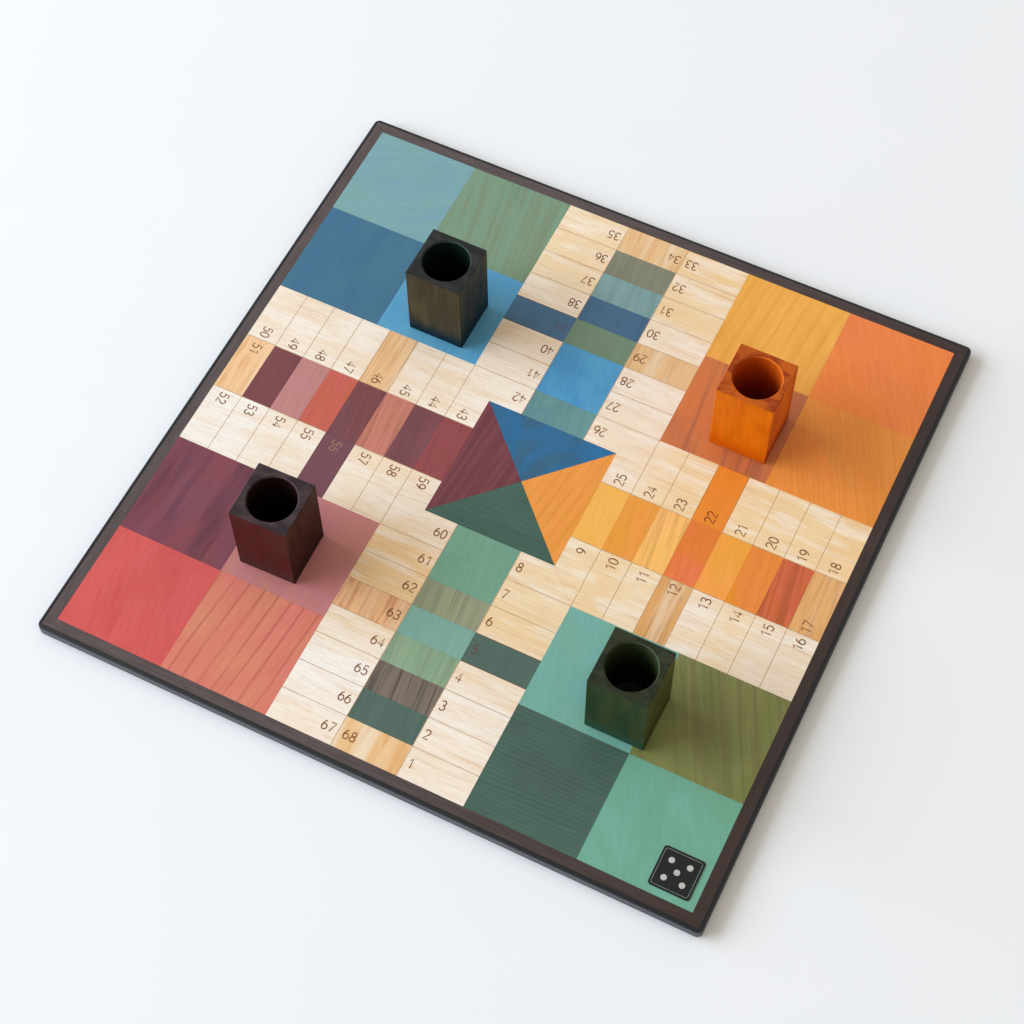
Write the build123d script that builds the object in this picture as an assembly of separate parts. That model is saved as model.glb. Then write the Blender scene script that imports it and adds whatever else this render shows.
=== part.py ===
from build123d import *
import os

# A wooden cross-and-circle race game board for four players, with its four dice cups.
# The board is a flat panel: a core, a backing veneer, a face made of veneer tiles, a dark
# border strip round the face and a rounded black lipping round the edge. The cups are loose.
# Millimetres. +Z is up, the board lies on z = 0, and its front edge is on the -Y side.

# Playing face: a cross of four arms, three lanes wide, with a square house in each corner.
cell_length = 18.8  # one cell, measured along its lane
lane_width = 39.8  # one lane, measured across the arm
lane_cells = 8  # cells in a lane, from the border to the goal
mid_cell = 4  # place, counted from the border, of the start cell and of the safe cell

# Panel build-up, from the table upwards.
backing_thickness = 0.6
core_thickness = 6.4
tile_thickness = 0.6
tile_gap = 0.05  # glue line between neighbouring tiles

# Border and edge.
border_width = 6.3
lipping_width = 2.4
lipping_plan_radius = 3.5  # the board's corners, seen from above
lipping_top_radius = 1.8
lipping_foot_radius = 0.5

# Maker's plate, glued on the face near the front right corner.
plate_size = 23.4
plate_inset = 4.2  # from the border to the plate
plate_corner_radius = 1.8
plate_thickness = 0.4

# Dice cup: a square block with a blind round bore.
cup_width = 35.0
cup_height = 55.0
cup_bore_diameter = 28.0
cup_floor = 6.0
cup_edge_radius = 0.6
cup_mouth_chamfer = 0.7

# Where each cup stands: from the middle of its house, to the right and to the back, and its turn.
cup_places = {
    "green": (-11.3, 22.0, -0.4),
    "orange": (-22.5, -36.6, -0.3),
    "blue": (36.2, -41.3, -0.4),
    "red": (23.9, 27.6, 1.2),
}

# Worked out from the sizes above.
house_side = (lane_cells - 1) * cell_length
arm_half = 1.5 * lane_width
field_half = arm_half + house_side
goal_half = field_half - lane_cells * cell_length
core_half = field_half + border_width
outer_half = core_half + lipping_width
house_middle = arm_half + house_side / 2
core_bottom = backing_thickness
face_bottom = core_bottom + core_thickness
face_top = face_bottom + tile_thickness

# The four sides in turn, anticlockwise from the front, each with the colour of its player.
sides = ["front", "right", "back", "left"]
colours = ["green", "orange", "blue", "red"]
cells_per_arm = 2 * lane_cells + 1


def turned(shape, quarter):
    """A shape made for the front side, turned to the side that is so many quarters on."""
    return shape.rotate(Axis.Z, 90 * quarter)


def polygon_tile(corners):
    """One veneer tile with these corners, less its half of the glue line."""
    outline = make_face(Polyline(*corners, close=True))
    face = offset(outline, amount=-tile_gap / 2, kind=Kind.INTERSECTION)
    return extrude(Pos(0, 0, face_bottom) * face, amount=tile_thickness)


def box_tile(left, front, right, back):
    """One rectangular veneer tile between these four lines."""
    return polygon_tile([(left, front), (right, front), (right, back), (left, back)])


def panel_layer(bottom, thickness):
    """A full layer of the panel, inside the lippings."""
    return Pos(0, 0, bottom) * extrude(Rectangle(2 * core_half, 2 * core_half), amount=thickness)


def edge_lipping(quarter):
    """A quarter of the rounded edge, cut with a mitre at each end."""
    outline = RectangleRounded(2 * outer_half, 2 * outer_half, lipping_plan_radius)
    ring = extrude(outline, amount=face_top)
    ring = fillet(ring.faces().sort_by(Axis.Z)[-1].edges(), lipping_top_radius)
    ring = fillet(ring.faces().sort_by(Axis.Z)[0].edges(), lipping_foot_radius)
    ring -= panel_layer(0, face_top)
    reach = 2 * outer_half
    wedge = make_face(Polyline((0, 0), (-reach, -reach), (reach, -reach), close=True))
    return turned(ring & extrude(wedge, amount=face_top), quarter)


def border_strip(quarter):
    """The dark strip along one side of the face, mitred at its ends."""
    outer = [(-core_half, -core_half), (core_half, -core_half)]
    inner = [(field_half, -field_half), (-field_half, -field_half)]
    return turned(polygon_tile(outer + inner), quarter)


def middle_of_house(quarter):
    """The middle of the house to the right of a side, as its player sees it."""
    return Vector(house_middle, -house_middle).rotate(Axis.Z, 90 * quarter)


def house_tiles(quarter):
    """The four square tiles of one house, by their places as seen from the front."""
    middle = middle_of_house(quarter)
    reach = house_side / 4
    tiles = {}
    for depth, backwards in (("front", -1), ("back", 1)):
        for hand, rightwards in (("left", -1), ("right", 1)):
            x = middle.X + rightwards * reach
            y = middle.Y + backwards * reach
            tiles[depth + "_" + hand] = box_tile(x - reach, y - reach, x + reach, y + reach)
    return tiles


def lane_tile(hand, place):
    """A cell of the front arm's right (hand 1) or left (hand -1) lane, counted from the border.
    The last one is cut off slantwise where it meets the next arm's lane."""
    low = -field_half + place * cell_length
    high = low + cell_length
    inner = hand * lane_width / 2
    outer_low = hand * min(arm_half, -low)
    outer_high = hand * min(arm_half, -high)
    return polygon_tile([(inner, low), (outer_low, low), (outer_high, high), (inner, high)])


def middle_tile(place):
    """A cell of the front arm's middle lane, counted from the border."""
    low = -field_half + place * cell_length
    return box_tile(-lane_width / 2, low, lane_width / 2, low + cell_length)


def goal_tile(quarter):
    """One of the four triangles of the goal square."""
    return turned(polygon_tile([(0, 0), (-goal_half, -goal_half), (goal_half, -goal_half)]), quarter)


def corner_plate():
    """The small plate near the front right corner. It is bare of any name."""
    middle = field_half - plate_inset - plate_size / 2
    outline = RectangleRounded(plate_size, plate_size, plate_corner_radius)
    return Pos(middle, -middle, face_top) * extrude(outline, amount=plate_thickness)


def dice_cup(colour, quarter):
    """A square block with a blind bore, standing on its house."""
    block = extrude(Rectangle(cup_width, cup_width), amount=cup_height)
    block = fillet(block.edges(), cup_edge_radius)
    bore = extrude(Circle(cup_bore_diameter / 2), amount=cup_height - cup_floor)
    block -= Pos(0, 0, cup_floor) * bore
    mouth = block.edges().filter_by(GeomType.CIRCLE).filter_by_position(Axis.Z, cup_height, cup_height)[0]
    block = chamfer(mouth, cup_mouth_chamfer)
    right, back, turn = cup_places[colour]
    middle = middle_of_house(quarter)
    return Pos(middle.X + right, middle.Y + back, face_top) * Rot(0, 0, turn) * block


def build_nodes():
    """Every node's solids, by the node's name."""
    nodes = {
        "backing_veneer": panel_layer(0, backing_thickness),
        "core_panel": panel_layer(core_bottom, core_thickness),
        "corner_plate": corner_plate(),
    }
    plain_places = [place for place in range(lane_cells) if place != mid_cell]
    for quarter, (side, colour) in enumerate(zip(sides, colours)):
        nodes["lipping_" + side] = edge_lipping(quarter)
        nodes["border_strip_" + side] = border_strip(quarter)
        for place, tile in house_tiles(quarter).items():
            nodes[f"house_{colour}_{place}"] = tile
        nodes["goal_" + colour] = goal_tile(quarter)
        home = [turned(middle_tile(place), quarter) for place in range(1, lane_cells)]
        nodes["home_row_" + colour] = Compound(children=home)

        # The cells are numbered anticlockwise: in along an arm's right lane, and out along its left.
        first = quarter * cells_per_arm
        last = first or 4 * cells_per_arm
        right_lane = [turned(lane_tile(1, place), quarter) for place in plain_places]
        left_lane = [turned(lane_tile(-1, place), quarter) for place in plain_places]
        nodes[f"track_{first + 1:02d}_{first + lane_cells:02d}"] = Compound(children=right_lane)
        nodes[f"track_{last - lane_cells:02d}_{last - 1:02d}"] = Compound(children=left_lane)
        nodes[f"start_cell_{first + 1 + mid_cell:02d}"] = turned(lane_tile(1, mid_cell), quarter)
        nodes[f"safe_cell_{last - 1 - mid_cell:02d}"] = turned(lane_tile(-1, mid_cell), quarter)
        nodes[f"end_cell_{last:02d}"] = turned(middle_tile(0), quarter)
        nodes[f"cup_{colour}_house"] = dice_cup(colour, quarter)
    return nodes


os.makedirs("parts", exist_ok=True)
for name, shape in build_nodes().items():
    export_step(shape, f"parts/{name}.step")
    print(name, len(shape.solids()), "solids,", round(shape.volume), "mm3")
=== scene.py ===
# %% [markdown]
# # A race game board of stained veneer, with its four dice cups
# The board is a flat panel, probably of fibreboard, with small tiles of stained veneer glued on
# its face, a dark strip round them and a black lacquered edge. Four square wooden cups stand on it.
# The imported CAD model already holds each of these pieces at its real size, and it is loaded here
# as a fixed frame. This lesson adds what a solid model can't hold: the finish of each wood, the
# printed lines and numbers, the light and the camera.

import math

import bmesh
import bpy
from mathutils import Matrix, Quaternion, Vector


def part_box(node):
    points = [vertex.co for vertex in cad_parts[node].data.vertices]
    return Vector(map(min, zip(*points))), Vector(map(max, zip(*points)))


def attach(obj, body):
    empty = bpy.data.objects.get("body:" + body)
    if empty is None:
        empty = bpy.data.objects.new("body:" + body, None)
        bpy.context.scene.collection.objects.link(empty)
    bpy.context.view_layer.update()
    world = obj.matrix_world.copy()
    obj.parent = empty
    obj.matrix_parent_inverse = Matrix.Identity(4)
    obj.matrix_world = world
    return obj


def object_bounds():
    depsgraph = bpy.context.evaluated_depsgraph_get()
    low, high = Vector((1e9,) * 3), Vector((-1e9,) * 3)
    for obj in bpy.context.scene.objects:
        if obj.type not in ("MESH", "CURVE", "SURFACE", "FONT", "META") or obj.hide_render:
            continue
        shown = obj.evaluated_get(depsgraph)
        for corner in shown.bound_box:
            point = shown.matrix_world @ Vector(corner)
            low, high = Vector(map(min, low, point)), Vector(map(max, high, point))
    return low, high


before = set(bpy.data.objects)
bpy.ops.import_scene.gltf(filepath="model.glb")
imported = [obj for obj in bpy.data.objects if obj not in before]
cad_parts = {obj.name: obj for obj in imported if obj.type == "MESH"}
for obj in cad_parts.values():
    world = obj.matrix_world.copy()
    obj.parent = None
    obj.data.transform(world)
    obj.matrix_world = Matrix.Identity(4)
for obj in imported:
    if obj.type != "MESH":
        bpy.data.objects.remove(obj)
cad_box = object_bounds()

# %% [markdown]
# ## The sizes that everything else uses
# The print has to meet the joints between the tiles, so no size is typed in twice. Two tiles
# have a hair of glue between them, and the middle of that glue line is read from their boxes.
# One unit in Blender is a metre, so `MM` turns a workshop size into scene units.

# %% Read the board's lines from its tiles
MM = 0.001
ACROSS, BACK = 0, 1  # the X and Y axes: to the right, and away from the front edge


def glue_line(lower, upper, axis):
    """Where two neighbouring tiles meet along an axis: halfway across the glue between them."""
    return (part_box(lower)[1][axis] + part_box(upper)[0][axis]) / 2


half_lane = glue_line("home_row_green", "start_cell_05", ACROSS)
arm_half = glue_line("start_cell_05", "house_green_back_left", ACROSS)
field_half = glue_line("house_green_front_right", "border_strip_right", ACROSS)
goal_half = -glue_line("home_row_green", "goal_green", BACK)
face_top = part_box("goal_green")[1].z
LANE_CELLS = 8
CELLS_PER_ARM = 2 * LANE_CELLS + 1  # up one lane, down another, and across an end cell
START_PLACE = 4  # the start cell and the safe cell, counted from the border
cell_length = (field_half - goal_half) / LANE_CELLS
COLOURS = ("green", "orange", "blue", "red")
print("field", round(2 * field_half / MM, 1), "mm, cell", round(cell_length / MM, 2), "mm")

# %% [markdown]
# ## Helpers for every finish
# Paint and stain colours are written as sRGB hex values, as on a colour card. Blender computes
# with linear light, so `linear` converts them. `add` makes any shader node: it sets the node's
# options and fills its inputs with plain values, hex colours or links from other nodes. The
# small sums that most finishes need have a name of their own.


# %% Colours and nodes
def linear(colour):
    """An sRGB hex colour as Blender's linear RGBA."""
    channels = [int(colour[place : place + 2], 16) / 255 for place in (1, 3, 5)]
    return [c / 12.92 if c <= 0.04045 else ((c + 0.055) / 1.055) ** 2.4 for c in channels] + [1.0]


def add(tree, kind, inputs=None, **settings):
    """A new shader node with its settings. A node given as an input is linked by its first output."""
    node = tree.nodes.new("ShaderNode" + kind)
    for name, value in settings.items():
        setattr(node, name, value)
    for name, value in (inputs or {}).items():
        if isinstance(value, bpy.types.Node):
            value = value.outputs[0]
        if isinstance(value, bpy.types.NodeSocket):
            tree.links.new(value, node.inputs[name])
        else:
            node.inputs[name].default_value = linear(value) if isinstance(value, str) else value
    return node


def times(tree, first, second):
    """The product of two numbers."""
    return add(tree, "Math", {0: first, 1: second}, operation="MULTIPLY")


def between(tree, value, start, end):
    """0 at start and 1 at end."""
    return add(tree, "MapRange", {"Value": value, "From Min": start, "From Max": end})


def measure(tree, vector, axis):
    """The X, Y or Z of a place or a direction."""
    return add(tree, "SeparateXYZ", {"Vector": vector}).outputs[axis]


def new_finish(name):
    """An empty material and its node tree."""
    material = bpy.data.materials.new(name)
    material.use_nodes = True
    material.node_tree.nodes.clear()
    return material, material.node_tree


def surface(tree, inputs):
    """The one shader that each finish ends in."""
    shader = add(tree, "BsdfPrincipled", inputs)
    add(tree, "OutputMaterial", {"Surface": shader})


def in_scene(name, data):
    """A new object in the scene."""
    thing = bpy.data.objects.new(name, data)
    bpy.context.scene.collection.objects.link(thing)
    return thing


# %% [markdown]
# ## Grain as stretched noise
# Wood is a bundle of fibres, so its marks are long down the trunk and narrow across it. Noise
# that is stretched the same way gives them. The Mapping node in its Texture mode divides the
# place by a size, so its Scale is simply the length and width of one mark in metres. Its
# Rotation turns the grain, because few sheets are cut quite square to it.
# Growth rings are different: they come at even steps, so a Wave node draws them, and a little
# distortion makes them wander as the tree did.

# %% Marks, growth lines and where they lie
WAVE_STEP = math.pi / 10  # at this scale the Wave node draws one band for each unit


def place_in(tree):
    """The place on the board, in metres."""
    return add(tree, "TexCoord").outputs["Object"]


def direction_in(tree):
    """The way that the surface points, in its piece's own space."""
    return add(tree, "TexCoord").outputs["Normal"]


def own_place(tree, number):
    """The place on the board, moved up by some metres, so that each sheet has its own grain."""
    return add(tree, "VectorMath", {0: place_in(tree), 1: (0, 0, number)}, operation="ADD")


def stretched(tree, place, axis, along, across, turn=0.0):
    """The place counted in marks of this length and width, down the grain's axis."""
    sizes = {
        "X": (along, across, across),
        "Y": (across, along, across),
        "Z": (across, across, along),
    }
    inputs = {"Vector": place, "Scale": sizes[axis], "Rotation": (0, 0, math.radians(turn))}
    return add(tree, "Mapping", inputs, vector_type="TEXTURE")


def marks(tree, place, axis, along, across, low=0.36, high=0.64, turn=0.0, bend=0.5, detail=3.0):
    """Marks of this length and width, from 0 to 1. A higher low and high leave fewer of them."""
    spot = stretched(tree, place, axis, along, across, turn)
    noise = add(tree, "TexNoise", {"Vector": spot, "Scale": 1.0, "Detail": detail, "Distortion": bend})
    inputs = {"Value": noise, "From Min": low, "From Max": high}
    return add(tree, "MapRange", inputs, interpolation_type="SMOOTHSTEP")


def growth_lines(tree, place, axis, gap, turn=0.0, wander=2.5, thin=0.55, straight=14):
    """Lines at about this gap, 1 on the line and 0 between. A higher thin makes them thinner.
    One wander is `straight` gaps long, so a higher number leaves them straighter."""
    spot = stretched(tree, place, axis, straight * gap, gap, turn)
    wave = {"Vector": spot, "Scale": WAVE_STEP, "Distortion": wander, "Detail": 2.0, "Detail Scale": 0.7}
    bands = add(tree, "TexWave", wave, bands_direction="Y" if axis == "X" else "X")
    fading = marks(tree, place, axis, 8 * gap, 2 * gap, 0.22, 0.5, turn)
    return times(tree, between(tree, bands, thin, 1.0), fading)


def blend(tree, share, first, second, amount=1.0):
    """first turns into second where share is 1, by this amount."""
    if amount != 1.0:
        share = times(tree, share, amount)
    return add(tree, "MixRGB", {"Fac": share, "Color1": first, "Color2": second})


# %% [markdown]
# ## Veneer under a satin lacquer
# The coloured tiles look like maple or beech veneer. Such veneer is dyed right through with a
# water stain, glued down, sanded and lacquered. The dye is never even: it drifts between two near
# tones over a few centimetres, and where the early wood drinks more of it, the same hue is
# deeper. So each sheet has a tone and a drift tone, and its marks are that colour taken deeper,
# or a colour of their own where the wood was dark before it was dyed.
# A satin lacquer on wood has an IOR of about 1.5. Open pores break up part of its reflection, so
# its specular level is under the usual half, and its roughness near 0.45 spreads the room's
# reflection into a soft sheen. The fibres are felt through it, as a fine bump.

# %% A sheet of veneer
CLOUD_LENGTH = 70 * MM  # how far the dye drifts
CLOUD_WIDTH = 38 * MM
FIBRE_LENGTH = 16 * MM
FIBRE_WIDTH = 0.7 * MM  # real fibres are finer, and this is as fine as shows from here
STREAK_LENGTH = 110 * MM
FIBRE_STRENGTH = 0.22
SATIN = 0.46
LACQUER_IOR = 1.5
LACQUER_SPECULAR = 0.3
PLAIN_FIGURE = dict(width=7 * MM, rare=0.0, streaks=0.12, thin=0.5, lines=0.4)


def fibre_bump(tree, fibres, height=0.02 * MM):
    """The fibres felt under the lacquer."""
    return add(tree, "Bump", {"Height": fibres, "Distance": height, "Strength": 0.3})


def lacquered(tree, colour, fibres, roughness=SATIN, specular=LACQUER_SPECULAR):
    """Wood of this colour under a thin clear lacquer."""
    finish = {"Base Color": colour, "Roughness": roughness, "Normal": fibre_bump(tree, fibres)}
    surface(tree, {"IOR": LACQUER_IOR, "Specular IOR Level": specular, **finish})


def deeper(tree, colour, value=0.72, saturation=1.12):
    """The same stain where the wood drank more of it."""
    return add(tree, "HueSaturation", {"Saturation": saturation, "Value": value, "Color": colour})


def veneer(tree, place, tone, drift, axis="Y", turn=0.0, **figure):
    """A sheet of veneer: its drift of colour, its broad streaks, its growth lines and its fibres.
    The figure holds how strong the streaks and lines are, their sizes and any colour of their own.
    A higher `rare` leaves fewer streaks, and only a sheet with a gap has growth lines."""
    figure = {**PLAIN_FIGURE, **figure}
    clouds = marks(tree, place, axis, CLOUD_LENGTH, CLOUD_WIDTH, turn=turn, bend=1.2)
    colour = blend(tree, clouds, tone, drift)
    low, high = 0.4 + figure["rare"], 0.64 + figure["rare"]
    broad = marks(tree, place, axis, STREAK_LENGTH, figure["width"], low, high, turn)
    streak = figure.get("streak") or deeper(tree, colour)
    colour = blend(tree, broad, colour, streak, figure["streaks"])
    if "gap" in figure:
        bends = {name: figure[name] for name in ("wander", "thin", "straight") if name in figure}
        ringed = growth_lines(tree, place, axis, figure["gap"], turn, **bends)
        line = figure.get("line") or deeper(tree, colour)
        colour = blend(tree, ringed, colour, line, figure["lines"])
    fibres = marks(tree, place, axis, FIBRE_LENGTH, FIBRE_WIDTH, turn=turn)
    colour = blend(tree, fibres, colour, deeper(tree, colour), FIBRE_STRENGTH)
    lacquered(tree, colour, fibres)


# %% [markdown]
# ## The four houses
# Each corner square is made of four tiles in near tones. Their figures differ as in a veneer
# merchant's stock: some are calm, some have broad dark streaks, some show growth lines.
# `streaks` and `lines` say how strong each is, and `width` and `gap` how coarse, in real sizes.
# `turn` is how far the sheet's grain leans, in degrees anticlockwise.

# %% Stain the sixteen house tiles
HOUSES = {
    "green_front_left": (
        "dark_green",
        dict(
            tone="#496157", drift="#4c685c", axis="X", turn=2,
            lines=0.6, gap=2.6 * MM, wander=5, straight=8,
        ),
    ),
    "green_front_right": ("mint", dict(tone="#70a98f", drift="#75b09c", streaks=0.06, turn=25)),
    "green_back_left": ("turquoise", dict(tone="#77b2a8", drift="#7bb09c", streaks=0.1, turn=20)),
    "green_back_right": (
        "olive",
        dict(tone="#858851", drift="#7a8149", streaks=0.42, width=3 * MM, streak="#695f3c", turn=26),
    ),
    "orange_front_left": (
        "terracotta",
        dict(tone="#d57c47", drift="#c7754b", streaks=0.6, width=6 * MM, streak="#98604a", turn=6),
    ),
    "orange_front_right": (
        "dark_amber",
        dict(tone="#ee9847", drift="#f59546", lines=0.14, gap=3 * MM, wander=5, streaks=0.2, turn=25),
    ),
    "orange_back_left": (
        "amber_yellow",
        dict(tone="#f6b458", drift="#f0aa51", lines=0.22, gap=9 * MM, thin=0.6, turn=-5),
    ),
    "orange_back_right": ("coral_orange", dict(tone="#f38a46", drift="#ef864e", streaks=0.08, turn=28)),
    "blue_front_left": ("steel_blue", dict(tone="#47768d", drift="#42708f", streaks=0.15, width=14 * MM)),
    "blue_front_right": ("sky_blue", dict(tone="#5aa2cc", drift="#64a7c6", streaks=0.06)),
    "blue_back_left": ("light_teal", dict(tone="#7ca9b4", drift="#7faaac", axis="X", turn=25)),
    "blue_back_right": (
        "sage_green",
        dict(tone="#7c9b81", drift="#749682", streaks=0.45, width=4 * MM, streak="#7c8262", turn=9),
    ),
    "red_front_left": ("coral_red", dict(tone="#d7615f", drift="#d25c5a", width=14 * MM, turn=10)),
    "red_front_right": (
        "salmon",
        dict(
            tone="#dc8070", drift="#db8c71", turn=-5,
            lines=0.5, gap=9 * MM, thin=0.86, wander=6, straight=5, line="#a9574a",
        ),
    ),
    "red_back_left": (
        "plum",
        dict(
            tone="#85474f", drift="#804958", turn=-6,
            streaks=0.8, width=14 * MM, rare=0.04, streak="#5e3542",
        ),
    ),
    "red_back_right": ("dusty_rose", dict(tone="#c68182", drift="#c6847a", streaks=0.06)),
}
GOALS = {
    "green": dict(tone="#446054", drift="#49675b", axis="X", lines=0.4, gap=3.2 * MM, wander=5),
    "orange": dict(tone="#f3a14c", drift="#f19d4c", lines=0.22, gap=6 * MM, streaks=0.1, turn=-8),
    "blue": dict(tone="#38647e", drift="#2b70a2", streaks=0.12, width=12 * MM),
    "red": dict(tone="#7b4248", drift="#753f44", streaks=0.45, width=4 * MM, streak="#54293a", turn=-4),
}


def wear(node, material):
    """Gives a CAD piece its finish."""
    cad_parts[node].data.materials.clear()
    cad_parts[node].data.materials.append(material)


sheet_number = 0


def next_sheet(tree):
    """The place on the next sheet of the stack, so that no two tiles share their grain."""
    global sheet_number
    sheet_number += 1
    return own_place(tree, sheet_number)


for node, (stain, figure) in HOUSES.items():
    material, tree = new_finish(stain + "_stained_veneer")
    veneer(tree, next_sheet(tree), **figure)
    wear("house_" + node, material)
for colour, figure in GOALS.items():
    material, tree = new_finish("goal_" + colour + "_stained_veneer")
    veneer(tree, next_sheet(tree), **figure)
    wear("goal_" + colour, material)
print(sheet_number, "sheets stained")

# %% [markdown]
# ## The home rows
# The middle lane of each arm is seven tiles, each from another sheet. They are one CAD piece, so
# one material has to tell them apart. It measures how far a point lies from the border to the
# goal, and a colour ramp with hard steps, one for each cell, picks that tile's stain. A second
# ramp picks how strong its streaks are, and a whole number of cells moves the grain, so that it
# stops at each joint.

# %% Stain the home rows and the start cells
STAIN_CARD = {  # each stain, and how strong the streaks of its wood are
    "pine": ("#526a60", 0.22),
    "driftwood": ("#7d7165", 1),
    "leaf": ("#8ba989", 0.3),
    "lagoon": ("#7daca0", 0.1),
    "moss": ("#989e7f", 0.4),
    "jade": ("#74a48d", 0.1),
    "rust": ("#d26c3c", 0.5),
    "tangerine": ("#eb9128", 0.15),
    "apricot": ("#f6bc50", 0.06),
    "mango": ("#f4a83d", 0.06),
    "vermilion": ("#e78037", 0.06),
    "honeycomb": ("#fec469", 0.45),
    "marmalade": ("#efa13a", 0.08),
    "lichen": ("#848673", 0.2),
    "teal": ("#81a5a5", 0.3),
    "navy": ("#436687", 0.12),
    "fern": ("#728b74", 0.12),
    "sky": ("#4c96c9", 0.06),
    "sea": ("#659396", 0.2),
    "burgundy": ("#7b474a", 0.22),
    "rose": ("#c08681", 0.1),
    "brick": ("#c5674e", 0.06),
    "shrimp": ("#ca826d", 0.5),
    "garnet": ("#944a4c", 0.15),
    "pumpkin": ("#ee8d33", 0.1),
    "denim": ("#496d8b", 0.12),
    "wine": ("#784d56", 0.2),
}
HOME_ROWS = {
    "green": ("pine", "driftwood", "leaf", "lagoon", "moss", "jade", "jade"),
    "orange": ("rust", "tangerine", "mango", "vermilion", "honeycomb", "marmalade", "apricot"),
    "blue": ("lichen", "teal", "navy", "fern", "sky", "sky", "sea"),
    "red": ("burgundy", "rose", "brick", "burgundy", "shrimp", "burgundy", "garnet"),
}
START_STAINS = {"green": "pine", "orange": "pumpkin", "blue": "denim", "red": "wine"}
SHEET_STEP = 0.05  # metres of sheet between two tiles' grain
DYE_DRIFT = {"Hue": 0.49, "Saturation": 0.96, "Value": 1.05}  # the drift tone beside the tone


def ramp(tree, share, colours, stepped=False):
    """A colour for each cell of a share that runs from 0 to 1, with soft changes or hard steps."""
    node = add(tree, "ValToRGB", {"Fac": share})
    stops = node.color_ramp
    stops.interpolation = "CONSTANT" if stepped else "LINEAR"
    for number, colour in enumerate(colours):
        position = (number if stepped else number + 0.5) / len(colours)
        stop = stops.elements[0] if number == 0 else stops.elements.new(position)
        stop.position = position
        stop.color = colour
    stops.elements.remove(stops.elements[-1])
    return node


def from_border(tree, quarter):
    """How far along an arm a place is: 0 at the border, 1 at the goal."""
    outward = -1 if quarter in (0, 3) else 1
    out = measure(tree, place_in(tree), "Y" if quarter in (0, 2) else "X")
    return between(tree, out, outward * field_half, outward * goal_half)


def home_row_finish(quarter, colour):
    """The seven stains of one home row."""
    material, tree = new_finish("home_row_" + colour + "_stained_veneer")
    share = from_border(tree, quarter)
    stains = [STAIN_CARD[stain] for stain in HOME_ROWS[colour]]
    stains = stains[:1] + stains  # the end cell, next to the border, is another piece
    cell = add(tree, "Math", {0: times(tree, share, float(LANE_CELLS))}, operation="FLOOR")
    moved = add(tree, "CombineXYZ", {"Z": times(tree, cell, SHEET_STEP)})
    sheet = add(tree, "VectorMath", {0: next_sheet(tree), 1: moved}, operation="ADD")
    tone = ramp(tree, share, [linear(stain) for stain, strength in stains], stepped=True)
    strengths = [[strength] * 3 + [1.0] for stain, strength in stains]
    strength = ramp(tree, share, strengths, stepped=True)
    drift = add(tree, "HueSaturation", {"Color": tone, **DYE_DRIFT})
    streak = deeper(tree, tone, 0.5, 1.0)
    veneer(tree, sheet, tone, drift, streak=streak, streaks=strength, width=3 * MM, turn=7)
    return material


for quarter, colour in enumerate(COLOURS):
    wear("home_row_" + colour, home_row_finish(quarter, colour))
    material, tree = new_finish("start_" + colour + "_stained_veneer")
    tone, strength = STAIN_CARD[START_STAINS[colour]]
    veneer(tree, next_sheet(tree), tone, tone, streaks=strength)
    start = quarter * CELLS_PER_ARM + 1 + START_PLACE
    wear(f"start_cell_{start:02d}", material)

# %% [markdown]
# ## Pale maple for the track
# The cells of the track look like clear maple, unstained, with the grain from left to right all
# over the board. A card holds its tones from ivory to tan. The tone of a run drifts from cell to
# cell, so a ramp with one stop in the middle of each cell carries it. Over that lie broad soft
# bands, some whiter and some tan, short brown flakes, a few thin brown lines, and here and there
# the fine ripple that maple is known for. All runs share their sheets, so these marks run on.

# %% The pale maple
MAPLE_CARD = {
    "ivory": "#f9f5ec",
    "cream": "#f8eddc",
    "oat": "#f6e6d0",
    "straw": "#f6dfb9",
    "sand": "#f4d8a8",
    "tan": "#f5d2a0",
}
MAPLE_RUNS = {  # the arm that each run of cells is on, and its sheets from the border to the goal
    "track_01_08": (0, ("cream", "cream", "ivory", "oat", "oat", "sand", "straw", "straw")),
    "track_60_67": (0, ("cream", "ivory", "ivory", "oat", "tan", "tan", "tan", "oat")),
    "track_09_16": (1, ("oat", "oat", "straw", "oat", "straw", "straw", "sand", "straw")),
    "track_18_25": (1, ("tan", "sand", "sand", "sand", "sand", "sand", "straw", "oat")),
    "track_26_33": (2, ("tan", "straw", "sand", "oat", "oat", "cream", "cream", "oat")),
    "track_35_42": (2, ("straw", "straw", "straw", "oat", "oat", "oat", "cream", "cream")),
    "track_43_50": (3, ("cream", "cream", "cream", "cream", "oat", "oat", "oat", "cream")),
    "track_52_59": (3, ("ivory", "ivory", "cream", "cream", "cream", "oat", "oat", "oat")),
}
WHITE_WOOD = "#fdf7ec"
TAN_WOOD = "#efcf9f"
FLAKE_WOOD = "#d9ab7a"
LINE_WOOD = "#c8936c"
FIBRE_WOOD = "#c99a68"
BAND_LENGTH = 60 * MM
BAND_WIDTH = 6 * MM
BAND_SHEET = 29
WHITE_SHEET = 30
FLAKE_SHEET = 31


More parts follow.
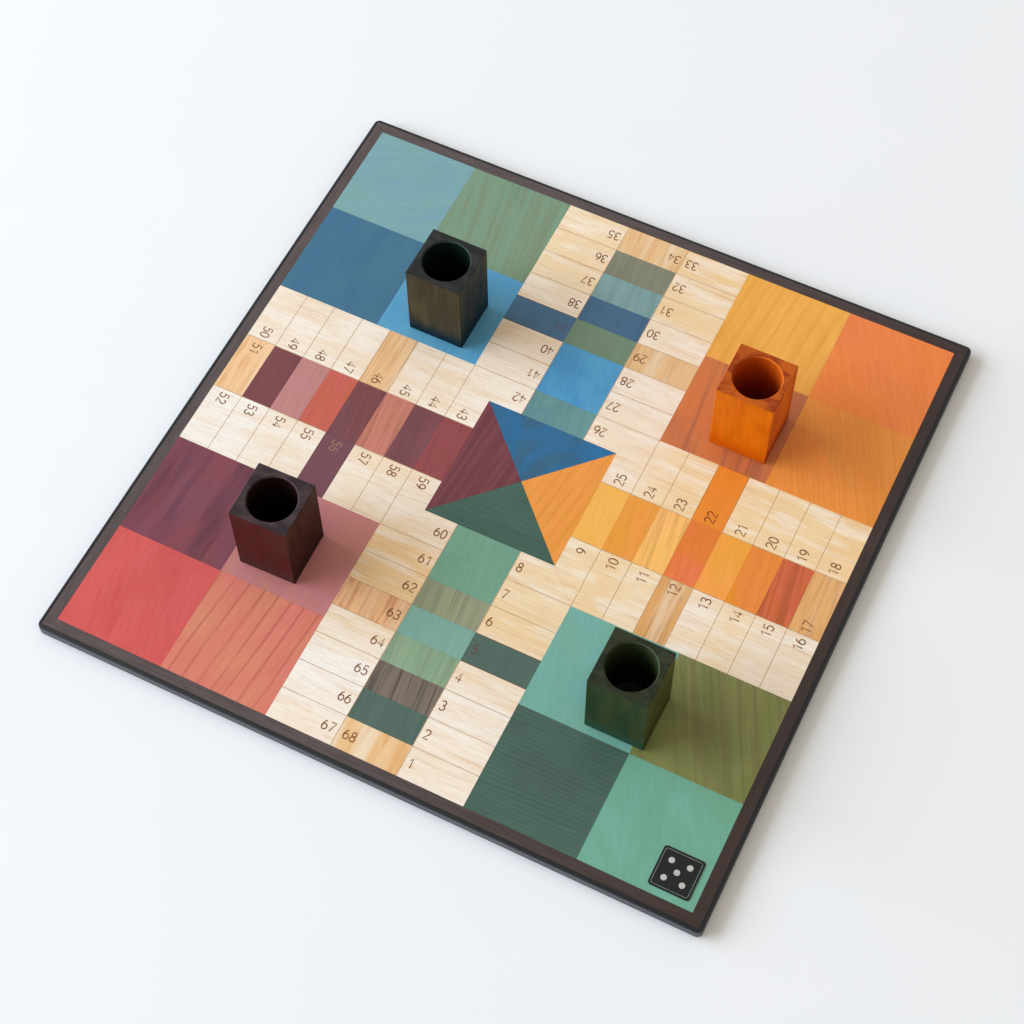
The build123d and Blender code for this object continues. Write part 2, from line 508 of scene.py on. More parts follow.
def pale_maple(node, quarter, sheets):
    """Clear maple with its grain across the board."""
    material, tree = new_finish("pale_maple_veneer_" + node.removeprefix("track_"))
    place = own_place(tree, BAND_SHEET)
    base = ramp(tree, from_border(tree, quarter), [linear(MAPLE_CARD[sheet]) for sheet in sheets])
    tan = marks(tree, place, "X", BAND_LENGTH, BAND_WIDTH, 0.42, 0.68, bend=0.7, detail=1.0)
    colour = blend(tree, tan, base, TAN_WOOD, 0.3)
    above = own_place(tree, WHITE_SHEET)
    white = marks(tree, above, "X", BAND_LENGTH / 2, BAND_WIDTH, 0.45, 0.7, bend=0.3, detail=1.0)
    colour = blend(tree, white, colour, WHITE_WOOD, 0.5)
    above = own_place(tree, FLAKE_SHEET)
    flakes = marks(tree, above, "X", 11 * MM, 1.8 * MM, 0.46, 0.72, bend=1.5, detail=1.0)
    colour = blend(tree, flakes, colour, FLAKE_WOOD, 0.19)
    ripple = growth_lines(tree, place, "X", 2.4 * MM, wander=6.0, thin=0.3)
    colour = blend(tree, ripple, colour, deeper(tree, colour, 0.9, 1.15), 0.35)
    lines = marks(tree, place, "X", 45 * MM, 1.5 * MM, 0.56, 0.76, bend=1.0, detail=2.0)
    colour = blend(tree, lines, colour, LINE_WOOD, 0.3)
    fibres = marks(tree, place, "X", FIBRE_LENGTH, FIBRE_WIDTH)
    colour = blend(tree, fibres, colour, FIBRE_WOOD, 0.05)
    lacquered(tree, colour, fibres)
    return material


for node, run in MAPLE_RUNS.items():
    wear(node, pale_maple(node, *run))
print(len(MAPLE_RUNS), "runs of pale cells")

# %% [markdown]
# ## Honey ash for the safe cells
# The safe cells and the last cell of each round are a warmer wood that could be ash. Its grain
# runs from front to back, against the maple's, so that the cells are found at a glance. Pieces
# that are cut where the heartwood meets the sapwood look like this: soft brown streaks and cream
# bands lie side by side.


# %% The honey ash
HONEY_CELLS = {  # the tone, its brown streaks, and how much cream wood is in the piece
    "end_cell_17": ("#e6af70", "#c48750", 0.2),
    "end_cell_34": ("#edc592", "#d99d60", 0.6),
    "end_cell_51": ("#f6cd9e", "#e3ad73", 0.45),
    "end_cell_68": ("#edc48e", "#dfa063", 0.8),
    "safe_cell_12": ("#e2aa6b", "#b98048", 0.5),
    "safe_cell_29": ("#eac290", "#cd9866", 0.9),
    "safe_cell_46": ("#efc493", "#cf9864", 0.3),
    "safe_cell_63": ("#eebd8c", "#c2785a", 0.3),
}
SAPWOOD = "#f3e3c8"
sheet_number = 52  # the ash comes from another stack


def honey_ash(number, tone, brown, cream):
    """Ash with brown streaks and cream bands, its grain from front to back."""
    material, tree = new_finish("honey_ash_veneer_" + number)
    place = next_sheet(tree)
    streaks = marks(tree, place, "Y", 50 * MM, 4 * MM, 0.45, 0.75, turn=2, bend=1.2, detail=1.5)
    colour = blend(tree, streaks, tone, brown, 0.8)
    bands = marks(tree, next_sheet(tree), "Y", 80 * MM, 9 * MM, 0.42, 0.7, turn=2, detail=1.0)
    colour = blend(tree, bands, colour, SAPWOOD, cream)
    lines = marks(tree, place, "Y", 30 * MM, 1.2 * MM, 0.54, 0.74, bend=1.0)
    colour = blend(tree, lines, colour, deeper(tree, brown), 0.3)
    fibres = marks(tree, place, "Y", FIBRE_LENGTH, FIBRE_WIDTH)
    colour = blend(tree, fibres, colour, deeper(tree, colour), 0.12)
    lacquered(tree, colour, fibres)
    return material


for node, piece in HONEY_CELLS.items():
    wear(node, honey_ash(node[-2:], *piece))
print(len(HONEY_CELLS), "honey cells")

# %% [markdown]
# ## The dark strip and the black edge
# The strip round the face is brown-black veneer with its grain along each side. Smoking or dye
# gives such a colour. The lippings are hardwood under black lacquer. Their upright edges are
# greyer than their tops, most of all at the front and on the left: a painted reflection of the
# lit table, darker on the right, where the table is in shade. The shader finds those edges by the
# way they point. Both finishes also carry a painted sheen that fades from left to right: the strip
# goes from greyer to browner, and the front lipping's top from dark grey to black.


# %% The strip, the lippings, the core and the backing
BLACK = "#1a1a1b"
# The border's left tone is greyed by a painted sheen, which fades out towards the right.
BORDER_SHEEN_TONES = ("#5f5453", "#40312c")  # at the left and at the right
SHEEN_FADE_START = -0.2  # where the border starts to turn browner, as a share of the field's half
UPRIGHT = (0.55, 0.15)  # the upward part of a level surface's and an upright one's direction


def smoked_veneer(axis):
    """Brown-black veneer with its grain along one axis, greyed to the left by a painted sheen that fades
    to the right.
    """
    material, tree = new_finish("smoked_brown_veneer_" + axis.lower())
    place = next_sheet(tree)
    rightwards = measure(tree, place_in(tree), "X")
    tone = blend(tree, between(tree, rightwards, SHEEN_FADE_START * field_half, field_half), *BORDER_SHEEN_TONES)
    clouds = marks(tree, place, axis, 40 * MM, 4 * MM)
    colour = blend(tree, clouds, tone, deeper(tree, tone), 0.5)
    fibres = marks(tree, place, axis, FIBRE_LENGTH, FIBRE_WIDTH)
    colour = blend(tree, fibres, colour, deeper(tree, colour, 0.5), 0.5)
    lacquered(tree, colour, fibres, 0.5)
    return material


def black_lacquer(side, painted_edge_tone, painted_sheen_tone):
    """Sprayed black lacquer with the faint waves of the spray. The upright edge's tone is a painted
    reflection of the table, and the painted sheen tone at the left end turns to black towards the right."""
    material, tree = new_finish("black_lacquered_hardwood_" + side)
    place = place_in(tree)
    waves = add(tree, "TexNoise", {"Vector": place, "Scale": 1 / (3 * MM), "Detail": 2.0})
    rightwards = between(tree, measure(tree, place, "X"), -field_half, field_half)
    tone = blend(tree, rightwards, painted_sheen_tone, BLACK)
    colour = blend(tree, waves, tone, deeper(tree, tone, 0.6, 1.0))
    patches = marks(tree, place, "X" if side in ("front", "back") else "Y", 30 * MM, 1.5 * MM)
    edge = blend(tree, patches, painted_edge_tone, deeper(tree, painted_edge_tone, 0.8))
    upward = measure(tree, direction_in(tree), "Z")
    colour = blend(tree, between(tree, upward, *UPRIGHT), colour, edge)
    ripple = add(tree, "Bump", {"Height": waves, "Distance": 0.02 * MM, "Strength": 0.4})
    finish = {"Base Color": colour, "Roughness": 0.4, "Normal": ripple}
    surface(tree, {"IOR": LACQUER_IOR, "Specular IOR Level": LACQUER_SPECULAR, **finish})
    return material


def fibreboard():
    """Pressed wood fibre: a fine brown speckle, raw and matt."""
    material, tree = new_finish("raw_fibreboard")
    grit = add(tree, "TexNoise", {"Vector": place_in(tree), "Scale": 1 / (0.8 * MM), "Detail": 4.0})
    colour = blend(tree, grit, "#8f7150", "#ab8a63")
    pits = add(tree, "Bump", {"Height": grit, "Distance": 0.05 * MM, "Strength": 0.6})
    surface(tree, {"Base Color": colour, "Roughness": 0.85, "Normal": pits})
    return material


def backing_ash():
    """Ash veneer under matt lacquer, for the underside."""
    material, tree = new_finish("backing_ash_veneer")
    place = next_sheet(tree)
    clouds = marks(tree, place, "Y", 90 * MM, 12 * MM)
    colour = blend(tree, clouds, "#d0ab80", "#c0966a")
    rings = growth_lines(tree, place, "Y", 14 * MM, wander=4.0)
    colour = blend(tree, rings, colour, "#a0764c", 0.4)
    fibres = marks(tree, place, "Y", FIBRE_LENGTH, FIBRE_WIDTH)
    colour = blend(tree, fibres, colour, "#96704a", 0.2)
    lacquered(tree, colour, fibres, 0.6)
    return material


# Painted light: each side's upright edge tone is a painted reflection of the table beside it, pale where
# the table is lit and dark on the shaded right. The front's left tone is a painted sheen.
PAINTED_EDGE_LIGHT = {  # the upright edge, and the left end of the top
    "front": ("#4b4e55", "#2f2f30"),
    "right": ("#262322", BLACK),
    "back": ("#2c2c2e", BLACK),
    "left": ("#43464c", BLACK),
}
strip_finish = {axis: smoked_veneer(axis) for axis in ("X", "Y")}
for side, tones in PAINTED_EDGE_LIGHT.items():
    wear("border_strip_" + side, strip_finish["X" if side in ("front", "back") else "Y"])
    wear("lipping_" + side, black_lacquer(side, *tones))
wear("core_panel", fibreboard())
wear("backing_veneer", backing_ash())

# %% [markdown]
# ## The dice cups
# Each cup is a block of hardwood that could be beech, drilled and stained. Wood is cut in three
# ways here: the end grain on top, a flat-sawn face and a quarter-sawn flank, and each takes the
# dye differently. The shader tells them apart by the way the surface points in the cup's own
# space. The grain runs up the cup. Each way has a tone and a cloud tone, as wiped-on stain would
# give. On the flanks the clouds are strongest near the top, and their lighter tone there is also
# painted light, with painted shade lower down. The foot has a tone for the faces and one for the
# flanks: painted shade, and a painted reflection of the coloured tiles under the cup. The last
# millimetres under the top are deeper. The bore gets darker on its way down, which is painted
# shade in the hollow. One side of its lip is paler: a painted highlight where its bevel faces
# the lamp.

# %% Stain the four cups
# Each cup's lip tone is a painted highlight. Its foot tones are painted shade with a painted reflection
# of the tiles, and its second bore tone is painted shade at the bottom of the bore.
CUPS = {
    "green": dict(
        face=("#253f28", "#3c4629"), flank=("#3a3d14", "#4a4c1d"), end=("#363b2b", "#262b1f"),
        bore=("#38442a", "#040603"), foot=("#2a4a38", "#292c09"), lip_highlight="#4b5340",
    ),
    "orange": dict(
        face=("#ee7d0a", "#e26c04"), flank=("#c95505", "#f07a12"), end=("#c66023", "#983b18"),
        bore=("#cf5a16", "#8c1f0c"), foot=("#da6303", "#903204"), lip_highlight="#da742c",
    ),
    "blue": dict(
        face=("#564f3a", "#3f3b2a"), flank=("#121f22", "#4c4738"), end=("#363938", "#282a29"),
        bore=("#14231d", "#020403"), foot=("#04222f", "#02161e"), lip_highlight="#3f4d47",
    ),
    "red": dict(
        face=("#4d1c1c", "#492722"), flank=("#2a0b08", "#4f2a1e"), end=("#4d4042", "#372d30"),
        bore=("#2c1616", "#050202"), foot=("#462a28", "#230c0a"), lip_highlight="#57474b",
    ),
}
# The foot's tones are painted shade, and a painted reflection of the coloured tiles under the cup.
FOOT_SHADE_HEIGHTS = (14 * MM, 4 * MM)  # the foot's tones take over from the first height down to the second
TOP_STAIN = 3 * MM
MOUTH = (0.86, 0.84)  # just outside the bore's mouth and at it, as shares of the cup's half side
# The pale band on the lip is a painted highlight, on the side of the bevel that faces the lamp.
LIP_DEPTH = 0.45 * MM  # the middle of the bore's bevelled lip, below the top of the cup
LIP_EDGE = (0.35 * MM, 0.2 * MM)  # how far from that middle the pale band ends, and is full
LIP_HIGHLIGHT_WAY = (0.57, 0.82, 0)  # the way from the bore's axis to the pale band
LIP_HIGHLIGHT_REACH = (3 * MM, 12 * MM)  # how far out that way the band starts, and is full
FACING = (0.45, 0.75)  # how much of a surface's direction counts as facing one way
CLOUD_UP = 48 * MM
CLOUD_ACROSS = 9 * MM
CUP_SPECULAR = 0.12  # stained and waxed, with no film of lacquer


def hollow(tree, place, cup):
    """1 inside the bore, and 0 outside it."""
    low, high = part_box(cup)
    middle = (low + high) / 2
    flat = add(tree, "VectorMath", {0: place, 1: (1, 1, 0)}, operation="MULTIPLY")
    axis = add(tree, "VectorMath", {0: flat, 1: (middle.x, middle.y, 0)}, operation="DISTANCE")
    half_side = (high.x - low.x) / 2
    return between(tree, axis.outputs["Value"], *[half_side * share for share in MOUTH])


def pale_lip(tree, place, height, cup):
    """1 on the painted highlight: a pale band on one side of the bore's lip."""
    low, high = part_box(cup)
    middle = (low + high) / 2
    from_lip = add(tree, "Math", {0: height, 1: high.z - LIP_DEPTH}, operation="SUBTRACT")
    from_lip = add(tree, "Math", {0: from_lip}, operation="ABSOLUTE")
    from_axis = add(tree, "VectorMath", {0: place, 1: middle}, operation="SUBTRACT")
    out = add(tree, "VectorMath", {0: from_axis, 1: LIP_HIGHLIGHT_WAY}, operation="DOT_PRODUCT")
    side = between(tree, out.outputs["Value"], *LIP_HIGHLIGHT_REACH)
    return times(tree, between(tree, from_lip, *LIP_EDGE), side)


def cup_finish(cup, face, flank, end, bore, lip_highlight, foot):
    """Stained beech: two tones for each of the ways that the wood is cut, its bore and its foot.
    The bore's dark end and the foot's tones are painted shade, the foot's also a painted reflection of
    the tiles, and the lip tone is a painted highlight.
    """
    material, tree = new_finish("stained_beech_" + cup)
    place = place_in(tree)
    low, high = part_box(cup)
    way = add(tree, "VectorMath", {0: direction_in(tree)}, operation="ABSOLUTE")
    height = measure(tree, place, "Z")
    clouds = marks(tree, place, "Z", CLOUD_UP, CLOUD_ACROSS, 0.3, 0.7)
    # On the flanks the lighter cloud tone grows towards the top: stain clouds, and also painted light
    # that falls off to painted shade towards the foot.
    clouds_with_painted_light = times(tree, clouds, between(tree, height, low.z, high.z))
    quarter_sawn = between(tree, measure(tree, way, "X"), *FACING)
    faces = blend(tree, clouds, *face)
    flanks = blend(tree, clouds_with_painted_light, *flank)
    colour = blend(tree, quarter_sawn, faces, flanks)
    patches = marks(tree, place, "Z", 16 * MM, 7 * MM, 0.45, 0.7, bend=0.8)
    colour = blend(tree, patches, colour, deeper(tree, colour, 0.8), 0.4)
    streaks = marks(tree, place, "Z", 40 * MM, 1.6 * MM)
    colour = blend(tree, streaks, colour, deeper(tree, colour), 0.35)
    # Painted shade and a painted reflection of the tiles, taking over towards the foot.
    foot_shade_share = between(tree, height, *[low.z + above for above in FOOT_SHADE_HEIGHTS])
    colour = blend(tree, foot_shade_share, colour, blend(tree, quarter_sawn, *foot), 0.9)
    near_top = between(tree, height, high.z - TOP_STAIN, high.z)
    colour = blend(tree, near_top, colour, deeper(tree, colour, 0.6), 0.3)
    # The bore darkens towards its bottom: painted shade in the hollow.
    bore_painted_shade = blend(tree, between(tree, height, high.z, low.z), *bore)
    inside = hollow(tree, place, cup)
    colour = blend(tree, inside, colour, bore_painted_shade)
    rings = growth_lines(tree, place, "X", 2.2 * MM, turn=20, wander=4.0)
    tops = blend(tree, marks(tree, place, "X", 14 * MM, 8 * MM), *end)
    tops = blend(tree, rings, tops, deeper(tree, tops), 0.3)
    colour = blend(tree, between(tree, measure(tree, way, "Z"), *FACING), colour, tops)
    # A painted highlight on the side of the lip's bevel that faces the lamp.
    highlight_share = times(tree, pale_lip(tree, place, height, cup), inside)
    colour = blend(tree, highlight_share, colour, lip_highlight)
    fibres = marks(tree, place, "Z", FIBRE_LENGTH, FIBRE_WIDTH)
    colour = blend(tree, fibres, colour, deeper(tree, colour), 0.4)
    lacquered(tree, colour, fibres, 0.5, CUP_SPECULAR)
    return material


for colour, tones in CUPS.items():
    cup = "cup_" + colour + "_house"
    wear(cup, cup_finish(cup, **tones))
print(len(CUPS), "cups stained")

# %% [markdown]
# ## Print as a raised film of ink
# The lines between the cells and the numbers look screen printed: a film of brown ink that
# stands a hair above the veneer. Text objects could give the numbers, but a printer's light
# numerals have one stroke width all over, like a pen line. So each digit is a few pen strokes,
# and a bevelled curve gives all strokes their width. The round bead is then pressed flat.

# %% Draw with a pen of ink
INK_FILM = 0.02 * MM
INK_SPECULAR = 0.12


def arc(middle, radii, start, end, steps=14):
    """Points on a part of an ellipse, between two angles in degrees."""
    angles = [math.radians(start + (end - start) * step / steps) for step in range(steps + 1)]
    return [(middle[0] + radii[0] * math.cos(a), middle[1] + radii[1] * math.sin(a)) for a in angles]


def printed(name, strokes, pen, material, bottom=face_top):
    """One piece of print: strokes of points on the board, drawn with a pen of this width."""
    curve = bpy.data.curves.new(name, "CURVE")
    curve.dimensions = "3D"
    curve.bevel_depth = pen / 2
    curve.bevel_resolution = 1
    curve.use_fill_caps = True
    for stroke in strokes:
        closed = stroke[0] == stroke[-1]
        points = stroke[:-1] if closed else stroke
        spline = curve.splines.new("POLY")
        spline.points.add(len(points) - 1)
        for point, (x, y) in zip(spline.points, points):
            point.co = (x, y, 0, 1)
        spline.use_cyclic_u = closed
    drawing = bpy.data.objects.new(name + "_drawing", curve)
    mesh = bpy.data.meshes.new_from_object(drawing)
    bpy.data.objects.remove(drawing)
    flatten = Matrix.Diagonal((1, 1, 2 * INK_FILM / pen, 1))
    mesh.transform(Matrix.Translation((0, 0, bottom)) @ flatten)
    mesh.name = name
    mesh.materials.clear()
    mesh.materials.append(material)
    piece = in_scene(name, mesh)
    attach(piece, "board")


def ink(name, colour, thinner=None):
    """Matt screen ink, slightly uneven where the grain took it, if it has a thinner tone."""
    material, tree = new_finish(name)
    if thinner:
        patches = marks(tree, place_in(tree), "X", 3 * MM, 0.8 * MM)
        colour = blend(tree, patches, colour, thinner)
    finish = {"Base Color": colour, "Roughness": 0.6}
    surface(tree, {"IOR": LACQUER_IOR, "Specular IOR Level": INK_SPECULAR, **finish})
    return material


# %% [markdown]
# ## The lines between the cells
# The front arm is drawn once, as lines that run to the right and to the back, and turned by
# quarters for the other three. The home row gets a line down each side, which stops beside the
# stained start cell, because the same veneer runs on there. The ink is thin and lets the wood
# through, so the two lines across the lane at a start cell take on the colour of its stain.
# They are pieces of their own, each with an ink of that colour.


# %% Print the cell lines
def turned(point, quarter):
    """A point of the front arm, on the arm that is so many quarters on, anticlockwise."""
    x, y = point
    for _ in range(quarter):
        x, y = -y, x
    return x, y


def cell_line(place):
    """Where the cell that is so many places from the border begins."""
    return -field_half + place * cell_length


def across_lane(hand, place):
    """The line across the right (hand 1) or left (hand -1) lane, where a cell begins."""
    return [(hand * half_lane, cell_line(place)), (hand * arm_half, cell_line(place))]


def along_lane(hand, first, last):
    """The line beside the home row, from where one cell begins to where another one does."""
    return [(hand * half_lane, cell_line(first)), (hand * half_lane, cell_line(last))]


def on_arm(lines, quarter):
    """The front arm's lines, on the arm that is so many quarters on."""
    return [[turned(point, quarter) for point in line] for line in lines]


START_EDGES = (START_PLACE, START_PLACE + 1)
plain_lines = [
    along_lane(-1, 0, LANE_CELLS),
    along_lane(1, 0, START_PLACE),
    along_lane(1, START_PLACE + 1, LANE_CELLS),
]
for place in range(1, LANE_CELLS):
    plain_lines.append(across_lane(-1, place))
    if place not in START_EDGES:
        plain_lines.append(across_lane(1, place))
start_lines = [across_lane(1, place) for place in START_EDGES]

LINE_PEN = 0.42 * MM
line_ink = ink("brown_line_ink", "#b8936f", "#ccab86")
all_lines = [line for quarter in range(4) for line in on_arm(plain_lines, quarter)]
printed("printed_cell_lines", all_lines, LINE_PEN, line_ink)
START_LINE_INKS = {"green": "#80583a", "orange": "#b87e40", "blue": "#464a56", "red": "#684244"}
for quarter, (player, colour) in enumerate(START_LINE_INKS.items()):
    stained_ink = ink(f"start_line_{player}_ink", colour)
    printed(f"printed_start_lines_{player}", on_arm(start_lines, quarter), LINE_PEN, stained_ink)
print(4 * len(plain_lines + start_lines), "lines printed")

# %% [markdown]
# ## The numbers from 1 to 68
# A digit is drawn in a box one unit high. The numbers run anticlockwise: up the right lane of
# an arm, down the left lane of the next, across its end cell, and on. Each stands near the home
# row's line, upright for the player who sits at that arm.

# %% Digits as pen strokes
DIGITS = {
    "0": [arc((0.29, 0.5), (0.27, 0.5), 0, 360)],
    "1": [[(0.1, 0.78), (0.36, 1.0), (0.36, 0.0)]],
    "2": [arc((0.29, 0.72), (0.25, 0.28), 165, -35) + [(0.04, 0.0), (0.56, 0.0)]],
    "3": [arc((0.27, 0.76), (0.23, 0.24), 155, -90) + arc((0.28, 0.26), (0.27, 0.27), 90, -155)],
    "4": [[(0.44, 0.0), (0.44, 1.0), (0.03, 0.28), (0.6, 0.28)]],
    "5": [[(0.52, 1.0), (0.13, 1.0), (0.08, 0.54)] + arc((0.28, 0.31), (0.27, 0.31), 125, -150)],
    "6": [arc((0.29, 0.3), (0.26, 0.3), 0, 360), arc((0.52, 0.3), (0.49, 0.7), 180, 110)],
    "7": [[(0.04, 1.0), (0.56, 1.0), (0.2, 0.0)]],
    "8": [arc((0.29, 0.76), (0.21, 0.24), 0, 360), arc((0.29, 0.26), (0.26, 0.26), 0, 360)],
    "9": [arc((0.29, 0.7), (0.26, 0.3), 0, 360), arc((0.06, 0.7), (0.49, 0.7), 0, -70)],
}
DIGIT_HEIGHT = 5.6 * MM
DIGIT_WIDTH = 0.58 * DIGIT_HEIGHT
DIGIT_STEP = DIGIT_WIDTH + 0.8 * MM
NUMBER_PEN = 0.8 * MM
RIGHT_LANE_START = 2.3 * MM  # from the home row's line to the number
LEFT_LANE_MIDDLE = 6.1 * MM
END_CELL_STARTS = (3.3 * MM, 1.9 * MM, 1.9 * MM, 3.3 * MM)  # one for each arm


def number_strokes(number, left, place, quarter):
    """The strokes of a number that starts at left and is centred in a cell, on one of the arms."""
    strokes = []
    foot = cell_line(place + 0.5) - DIGIT_HEIGHT / 2
    for order, digit in enumerate(str(number)):
        corner = left + order * DIGIT_STEP
        for stroke in DIGITS[digit]:
            strokes.append([(corner + x * DIGIT_HEIGHT, foot + y * DIGIT_HEIGHT) for x, y in stroke])
    return on_arm(strokes, quarter)


numbers = {}
for quarter in range(4):
    first = quarter * CELLS_PER_ARM
    last = first or 4 * CELLS_PER_ARM
    for place in range(LANE_CELLS):
        right, left = first + 1 + place, last - 1 - place
        width = (len(str(left)) - 1) * DIGIT_STEP + DIGIT_WIDTH
        left_start = -half_lane - LEFT_LANE_MIDDLE - width / 2
        numbers[right] = number_strokes(right, half_lane + RIGHT_LANE_START, place, quarter)
        numbers[left] = number_strokes(left, left_start, place, quarter)
    numbers[last] = number_strokes(last, -half_lane + END_CELL_STARTS[quarter], 0, quarter)

START_INKS = {5: "#66504a", 22: "#8a4a1c", 39: "#62667a", 56: "#a57668"}  # on the start cells
for number, colour in START_INKS.items():
    start_ink = ink(f"start_number_{number:02d}_ink", colour)
    printed(f"printed_number_{number:02d}", numbers.pop(number), NUMBER_PEN, start_ink)
number_ink = ink("brown_number_ink", "#80553a", "#9a6e50")
printed("printed_numbers", [s for strokes in numbers.values() for s in strokes], NUMBER_PEN, number_ink)
print(len(numbers) + len(START_INKS), "numbers printed")

# %% [markdown]
# ## The little plate
# A thin black plate sits in the near right corner. It carries no name. A pale outline and the
# five pips of a die are printed on it, as low domes of enamel ink.

# %% Finish the plate
PLATE_OUTLINE_INSET = 1.3 * MM
PLATE_CORNER = 1.2 * MM
PLATE_PEN = 0.3 * MM
PIP_STEP = 5.2 * MM
PIP_RADIUS = 1.7 * MM
PLASTIC_IOR = 1.46


def plate_plastic():
    """Satin black plastic with a fine moulded grain."""
    material, tree = new_finish("black_plate_plastic")
    grain = add(tree, "TexNoise", {"Vector": place_in(tree), "Scale": 1 / (0.5 * MM), "Detail": 2.0})
    colour = blend(tree, grain, "#151514", "#1d1c1b")
    fine = add(tree, "Bump", {"Height": grain, "Distance": 0.01 * MM, "Strength": 0.5})
    finish = {"Base Color": colour, "Roughness": 0.5, "Normal": fine}
    surface(tree, {"IOR": PLASTIC_IOR, "Specular IOR Level": LACQUER_SPECULAR, **finish})
    return material


def rounded_outline(middle, half, corner):
    """A square outline with round corners, closed."""
    points = []
    for quarter, (x, y) in enumerate(((1, 1), (-1, 1), (-1, -1), (1, -1))):
        centre = (middle.x + x * (half - corner), middle.y + y * (half - corner))
        points += arc(centre, (corner, corner), 90 * quarter, 90 * quarter + 90, 5)
    return points + points[:1]


def pips(middle, top, material):
    """Five low domes, as on a die."""
    mesh = bpy.data.meshes.new("printed_plate_pips")
    shape = bmesh.new()
    flatten = Matrix.Diagonal((1, 1, 2 * INK_FILM / PIP_RADIUS, 1))
    for x, y in ((0, 0), (1, 1), (-1, 1), (-1, -1), (1, -1)):
        spot = Matrix.Translation((middle.x + x * PIP_STEP, middle.y + y * PIP_STEP, top))
        dome = spot @ flatten
        bmesh.ops.create_uvsphere(shape, u_segments=32, v_segments=8, radius=PIP_RADIUS, matrix=dome)
    shape.to_mesh(mesh)
    shape.free()
    mesh.materials.append(material)
    piece = in_scene(mesh.name, mesh)
    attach(piece, "board")


wear("corner_plate", plate_plastic())
plate_low, plate_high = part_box("corner_plate")
plate_middle = (plate_low + plate_high) / 2
plate_half = (plate_high.x - plate_low.x) / 2
pale_ink = ink("pale_plate_ink", "#c9c8c4", "#b4b3af")
outline_ink = ink("grey_outline_ink", "#84918b", "#77837d")
outline = rounded_outline(plate_middle, plate_half - PLATE_OUTLINE_INSET, PLATE_CORNER)
printed("printed_plate_outline", [outline], PLATE_PEN, outline_ink, plate_high.z)
pips(plate_middle, plate_high.z, pale_ink)

# %% [markdown]
# ## The table
# The board lies on a smooth, pale, slightly cool table top: a plain matt plane. Its low specular
# level keeps the room's reflection in it faint. Far from the board it turns into the backdrop,
# so that no view shows where it ends. The underside of the board is a part of the model too, so
# the table is clear from below, and it is cut out under the board, where nobody sees it from
# above, to let the room's light in.

# %% Lay the floor
BACKDROP = "#eff3f7"
FADE = (0.5, 1.5)  # metres from the board's middle: plain table up to the first, then backdrop
TABLE_HALF = 4.0
TABLE_UNDER_BOARD = 3 * MM
HAIR = 0.1 * MM  # between the board and the table
TABLE_FINISH = {"Roughness": 0.75, "IOR": 1.45, "Specular IOR Level": 0.25}


def floor():
    """A pale matt table top with no visible end."""
    material, tree = new_finish("pale_table_top")
    place = place_in(tree)
    tooth = add(tree, "TexNoise", {"Vector": place, "Scale": 1 / (60 * MM), "Detail": 1.0})
    colour = blend(tree, tooth, "#f0f4f7", "#f2f5f8")
    matt = add(tree, "BsdfPrincipled", {"Base Color": colour, **TABLE_FINISH})
    away = add(tree, "VectorMath", {0: place}, operation="LENGTH").outputs["Value"]
    seen = add(tree, "LightPath").outputs["Is Camera Ray"]
    far = times(tree, between(tree, away, *FADE), seen)
    backdrop = add(tree, "Emission", {"Color": BACKDROP})
    top = add(tree, "MixShader", {0: far, 1: matt, 2: backdrop})
    below = add(tree, "NewGeometry").outputs["Backfacing"]
    either = add(tree, "MixShader", {0: below, 1: top, 2: add(tree, "BsdfTransparent")})
    add(tree, "OutputMaterial", {"Surface": either})
    halves = (TABLE_HALF, cad_box[1].x - TABLE_UNDER_BOARD)
    corners = ((-1, -1), (1, -1), (1, 1), (-1, 1))
    points = [(x * half, y * half, -HAIR) for half in halves for x, y in corners]
    sides = [(n, (n + 1) % 4, (n + 1) % 4 + 4, n + 4) for n in range(4)]
    mesh = bpy.data.meshes.new("table_top")
    mesh.from_pydata(points, [], sides)
    mesh.materials.append(material)
    plane = in_scene("table_top", mesh)


floor()

# %% [markdown]
# ## Light
# One wide soft lamp stands low on the left, a little in front of the board. It is so wide that
# the cups' shadows are dark at their feet and fade within a few centimetres, and so low that the
# thin edge of the board still throws a soft band on the table. A pale room lights the rest.
# Their sum on a level surface is about one, at which a colour renders as it is written. The
# lamp is hidden from glossy rays: it lights the wood, but leaves no bright patch in the lacquer,
# whose soft sheen is the room's.

# %% Light the board
ROOM_LIGHT = 0.58
ROOM_COLOUR = "#fff3e2"  # pale walls and wood warm the light that they return
LAMP_COLOUR = "#e2eeff"  # a little cool, like a window's light
LAMP_DISTANCE = 5.5
LAMP_AZIMUTH = 198.0  # degrees, anticlockwise from the right
LAMP_HEIGHT = 26.0  # degrees above the table
LAMP_WIDTH = 5.9
LAMP_TALL = 3.4
LAMP_POWER = 470.0


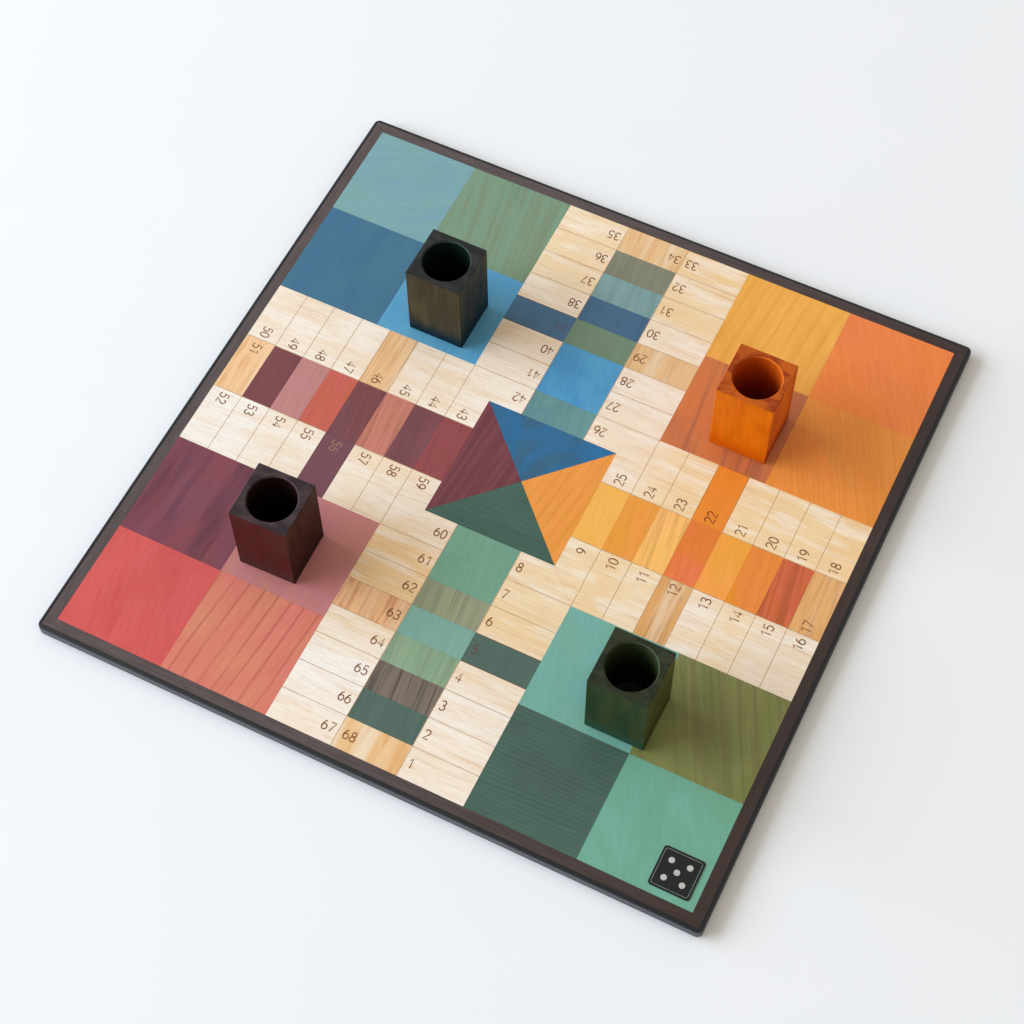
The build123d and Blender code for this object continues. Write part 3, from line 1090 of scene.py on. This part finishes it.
def room():
    """The pale room: plain light on the board, and a pale backdrop for the camera and for gloss."""
    world = bpy.data.worlds.new("pale_room")
    bpy.context.scene.world = world
    world.use_nodes = True
    tree = world.node_tree
    tree.nodes.clear()
    ray = add(tree, "LightPath")
    rays = {0: ray.outputs["Is Camera Ray"], 1: ray.outputs["Is Glossy Ray"]}
    rays = {0: add(tree, "Math", rays, operation="ADD"), 1: ray.outputs["Is Transmission Ray"]}
    seen = add(tree, "Math", rays, operation="ADD", use_clamp=True)
    light = add(tree, "Background", {"Color": ROOM_COLOUR, "Strength": ROOM_LIGHT})
    backdrop = add(tree, "Background", {"Color": BACKDROP, "Strength": 1.0})
    either = add(tree, "MixShader", {0: seen, 1: light, 2: backdrop})
    add(tree, "OutputWorld", {"Surface": either})


def lamp():
    """A wide soft lamp that points at the middle of the board."""
    level = Matrix.Rotation(math.radians(LAMP_AZIMUTH), 3, "Z")
    raised = Matrix.Rotation(math.radians(-LAMP_HEIGHT), 3, "Y")
    place = level @ raised @ Vector((LAMP_DISTANCE, 0, 0))
    data = bpy.data.lights.new("soft_lamp", "AREA")
    data.shape = "RECTANGLE"
    data.size = LAMP_WIDTH
    data.size_y = LAMP_TALL
    data.energy = LAMP_POWER
    data.color = linear(LAMP_COLOUR)[:3]
    light = in_scene("soft_lamp", data)
    light.location = place
    light.visible_glossy = False
    light.rotation_euler = (-place).to_track_quat("-Z", "Y").to_euler()


room()
lamp()

# %% [markdown]
# ## Camera
# The camera looks down from the front and a little from the right, with a long lens that keeps
# the board's edges nearly parallel.

# %% Set up the camera
CAMERA_PLACE = Vector((0.27155, -0.55027, 1.05040))
CAMERA_AIM = Vector((0.00410, -0.02033, 0.0076))
CAMERA_LENS = 74.43
CAMERA_ROLL = -0.63  # degrees


def camera():
    """The scene's camera."""
    data = bpy.data.cameras.new("camera")
    data.lens = CAMERA_LENS
    data.sensor_width = 36
    view = in_scene("camera", data)
    view.location = CAMERA_PLACE
    view.rotation_mode = "QUATERNION"
    level = (CAMERA_AIM - CAMERA_PLACE).to_track_quat("-Z", "Y")
    view.rotation_quaternion = level @ Quaternion((0, 0, 1), math.radians(CAMERA_ROLL))
    bpy.context.scene.camera = view


camera()
bpy.context.scene.view_settings.view_transform = "Standard"
